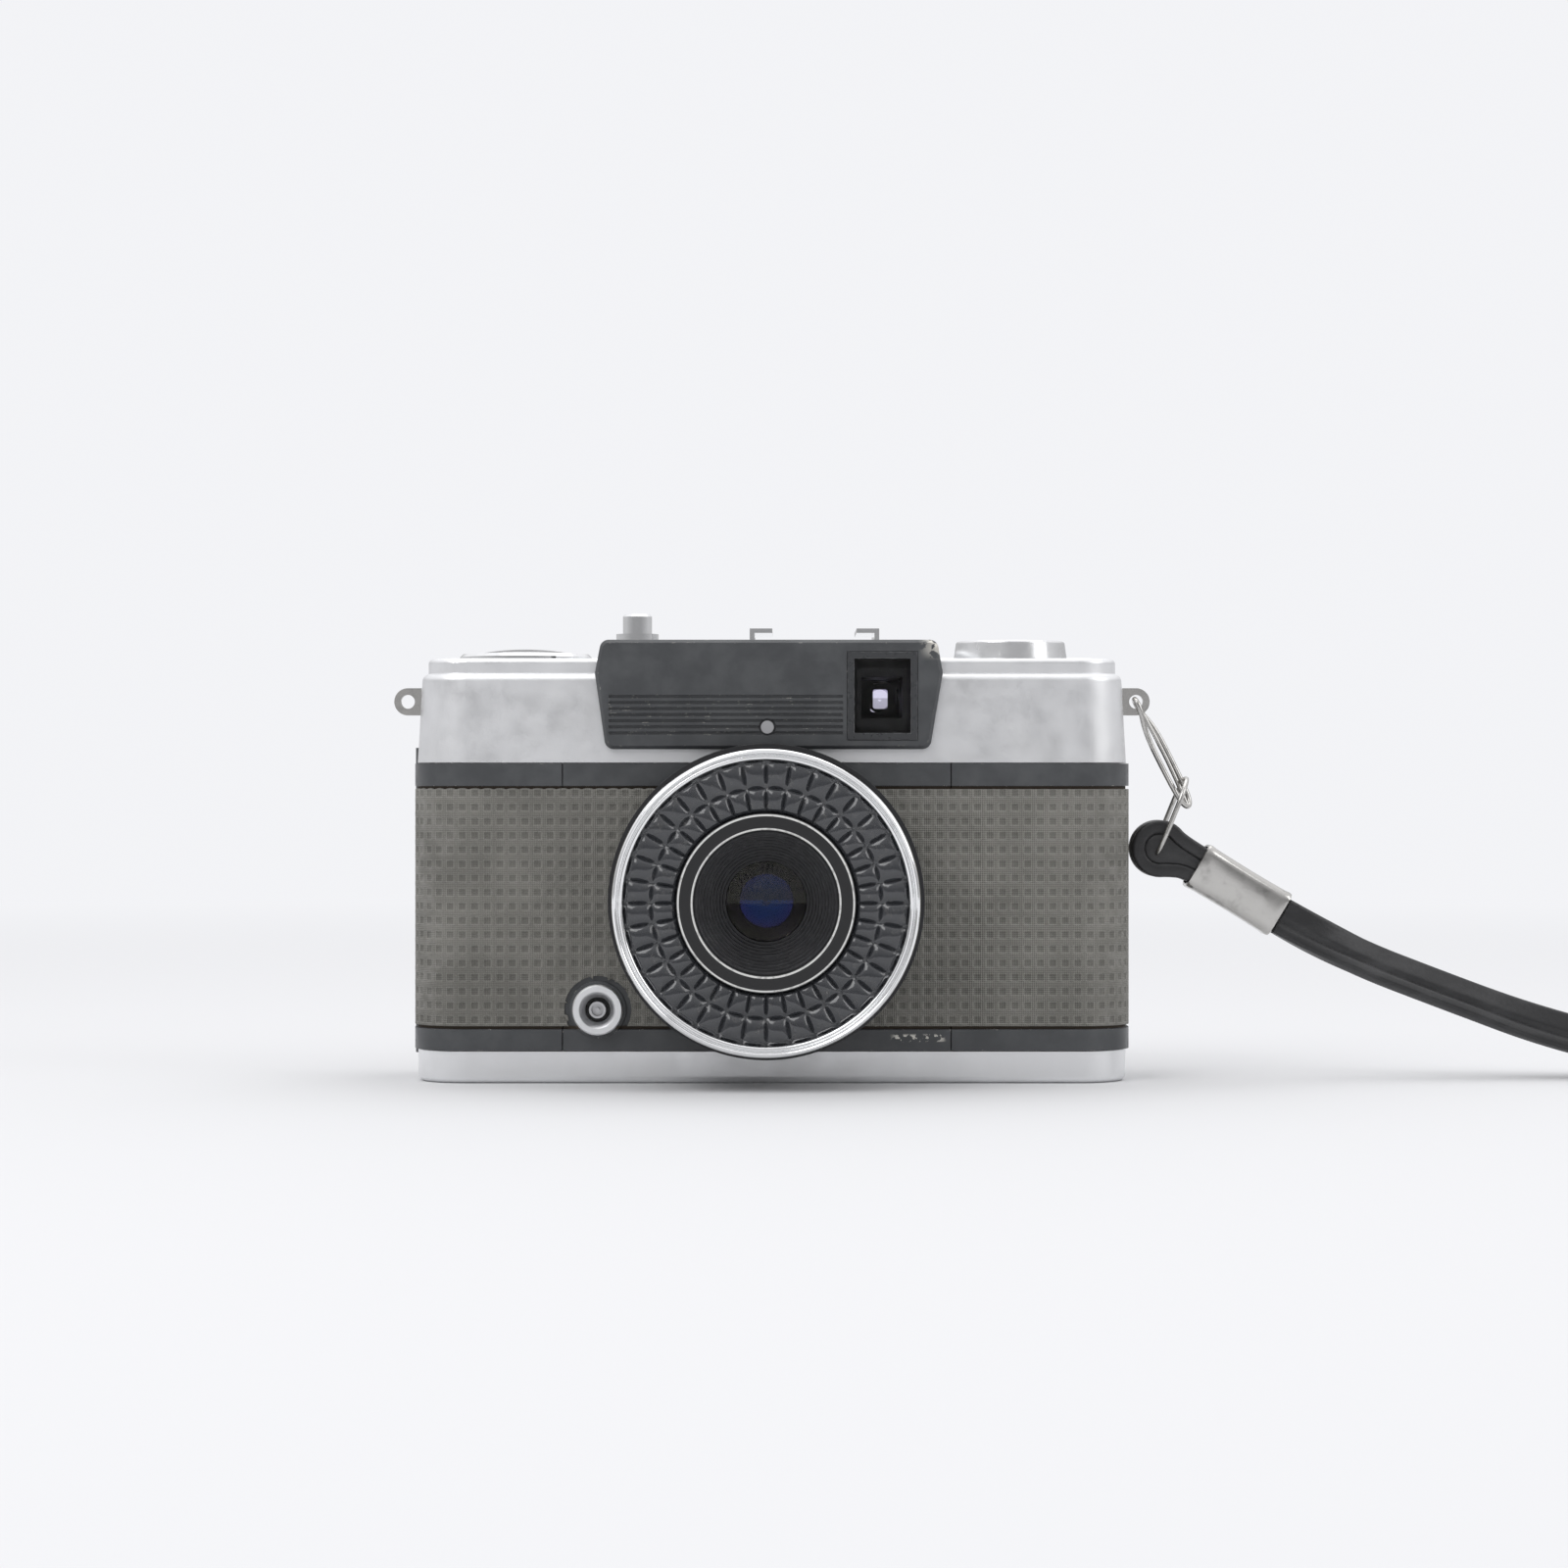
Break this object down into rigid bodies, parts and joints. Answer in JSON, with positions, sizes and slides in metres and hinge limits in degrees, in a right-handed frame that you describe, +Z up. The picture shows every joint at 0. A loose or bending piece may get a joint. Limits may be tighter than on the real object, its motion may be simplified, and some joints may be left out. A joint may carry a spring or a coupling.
{
  "type": "half frame camera",
  "caption": "Compact half frame film camera with a lenslet light-cell ring round its lens, finder hump, accessory shoe, opening back and a wrist strap.",
  "frame": {"origin": "under the middle of the camera, between the two strap lugs and between the bezel's front and the eyepiece's back, on the plane the camera stands on", "axes": "+X to the right seen from the front, +Y to the back, +Z up"},
  "size_m": [0.287, 0.0497, 0.0733],
  "materials": {
    "satin_metal": "fine satin",
    "painted_casting": "dark blue-grey enamel over die casting",
    "leatherette": "embossed grey leatherette",
    "chrome_trim": "polished chrome",
    "turned_metal": "turned and brushed",
    "steel_small": "plain steel",
    "worn_nickel": "worn nickel",
    "black_anodised": "black anodised",
    "black_plastic": "matte black moulding",
    "brass_bush": "plain brass",
    "clear_plastic": "clear moulding",
    "coated_glass": "coated lens glass",
    "light_cell": "dark cell surface",
    "counter_dial": "black disc with white numbers",
    "strap_vinyl": "soft black vinyl"
  },
  "bodies": {
    "camera_body": {"top_cover": "satin_metal", "bottom_cover": "satin_metal", "body_casting": "painted_casting", "front_plate": "painted_casting", "name_panel": "painted_casting", "window_frame": "painted_casting", "hinge_brackets": "painted_casting", "leatherette_front": "leatherette", "bezel_ring": "chrome_trim", "counter_bezel": "chrome_trim", "release_collar": "chrome_trim", "accessory_shoe": "chrome_trim", "eyepiece_frame": "chrome_trim", "flash_socket": "chrome_trim", "base_screws": "steel_small", "shoe_screws": "steel_small", "panel_screw": "steel_small", "hinge_pin": "steel_small", "release_spring": "steel_small", "deck_posts": "steel_small", "strap_lugs": "worn_nickel", "lens_barrel": "black_anodised", "lens_name_ring": "black_anodised", "inner_barrel": "black_anodised", "shutter_housing": "black_anodised", "finder_tunnel": "black_plastic", "shoe_insulator": "black_plastic", "flash_insulator": "black_plastic", "meter_movement": "black_plastic", "tripod_socket": "brass_bush", "shoe_contact": "brass_bush", "flash_pin": "brass_bush", "lenslet_window": "clear_plastic", "counter_window": "clear_plastic", "front_lens": "coated_glass", "rear_lens": "coated_glass", "finder_lens": "coated_glass", "eyepiece_lens": "coated_glass", "light_cell": "light_cell"},
    "release": {"release_button": "chrome_trim"},
    "advance_wheel": {"thumbwheel": "black_plastic"},
    "sprocket_shaft": {"sprocket": "black_plastic"},
    "takeup_shaft": {"takeup_spool": "black_plastic"},
    "counter": {"counter_dial": "counter_dial"},
    "rewind": {"rewind_knob": "turned_metal"},
    "crank": {"rewind_crank": "turned_metal"},
    "door": {"back_door": "painted_casting", "leatherette_back": "leatherette"},
    "film_plate": {"pressure_plate": "steel_small", "pressure_spring": "steel_small"},
    "latch": {"door_latch": "turned_metal"},
    "speed_setting": {"speed_ring": "black_anodised"},
    "rewind_release": {"rewind_release": "steel_small"},
    "blade_a": {"shutter_blade_a": "steel_small"},
    "blade_b": {"shutter_blade_b": "steel_small"},
    "strap": {"strap_hook": "worn_nickel", "strap_link": "worn_nickel", "strap_end_loop": "strap_vinyl", "strap_ferrule": "worn_nickel", "wrist_strap": "strap_vinyl"}
  },
  "joints": [
    {"name": "release_press", "type": "slide", "parent": "camera_body", "child": "release", "axis": [0, 0, -1], "range_m": [0, 0.002], "stiffness_N_per_m": 300, "deforming": ["release_spring"]},
    {"name": "advance_turn", "type": "hinge", "parent": "camera_body", "child": "advance_wheel", "pos_m": [-0.0392, 0.0125, 0.054], "axis": [0, 0, 1], "continuous": true},
    {"name": "sprocket_turn", "type": "hinge", "parent": "camera_body", "child": "sprocket_shaft", "pos_m": [-0.0205, 0.01135, 0.028], "axis": [0, 0, 1], "continuous": true},
    {"name": "takeup_turn", "type": "hinge", "parent": "camera_body", "child": "takeup_shaft", "pos_m": [-0.0405, 0.009, 0.028], "axis": [0, 0, 1], "continuous": true},
    {"name": "counter_turn", "type": "hinge", "parent": "camera_body", "child": "counter", "pos_m": [-0.0392, 0.0095, 0.0648], "axis": [0, 0, 1], "continuous": true},
    {"name": "rewind_turn", "type": "hinge", "parent": "camera_body", "child": "rewind", "pos_m": [0.0379, 0.009, 0.06], "axis": [0, 0, 1], "continuous": true},
    {"name": "crank_fold", "type": "hinge", "parent": "rewind", "child": "crank", "pos_m": [0.0379, 0.003, 0.06835], "axis": [1, 0, 0], "range_deg": [0, 115]},
    {"name": "door_open", "type": "hinge", "parent": "camera_body", "child": "door", "pos_m": [-0.0561, 0.014, 0.028], "axis": [0, 0, 1], "range_deg": [0, 115]},
    {"name": "film_plate_press", "type": "slide", "parent": "door", "child": "film_plate", "axis": [0, 1, 0], "range_m": [0, 0.0004], "stiffness_N_per_m": 300},
    {"name": "latch_pull", "type": "slide", "parent": "door", "child": "latch", "axis": [0, 0, -1], "range_m": [0, 0.003], "stiffness_N_per_m": 100},
    {"name": "speed_ring_turn", "type": "hinge", "parent": "camera_body", "child": "speed_setting", "pos_m": [-0.0008, -0.013, 0.02856], "axis": [0, 1, 0], "range_deg": [0, 200]},
    {"name": "rewind_release_press", "type": "slide", "parent": "camera_body", "child": "rewind_release", "axis": [0, 0, 1], "range_m": [0, 0.0015], "stiffness_N_per_m": 200},
    {"name": "blade_a_open", "type": "hinge", "parent": "camera_body", "child": "blade_a", "pos_m": [0.0092, -0.0107, 0.02856], "axis": [0, 1, 0], "range_deg": [0, 60], "stiffness_Nm_per_rad": 0.0002},
    {"name": "blade_b_open", "type": "hinge", "parent": "camera_body", "child": "blade_b", "pos_m": [-0.0108, -0.0102, 0.02856], "axis": [0, 1, 0], "range_deg": [0, 60], "stiffness_Nm_per_rad": 0.0002},
    {"name": "strap_swing", "type": "hinge", "parent": "camera_body", "child": "strap", "pos_m": [0.0574, 0.006, 0.0597], "axis": [0, -1, 0], "range_deg": [0, 60]}
  ],
  "couplings": [
    {"joint": "sprocket_turn", "follows": "advance_turn", "ratio": 1},
    {"joint": "takeup_turn", "follows": "advance_turn", "ratio": 1.25},
    {"joint": "counter_turn", "follows": "advance_turn", "ratio": 0.02778},
    {"joint": "blade_b_open", "follows": "blade_a_open", "ratio": 1}
  ]
}
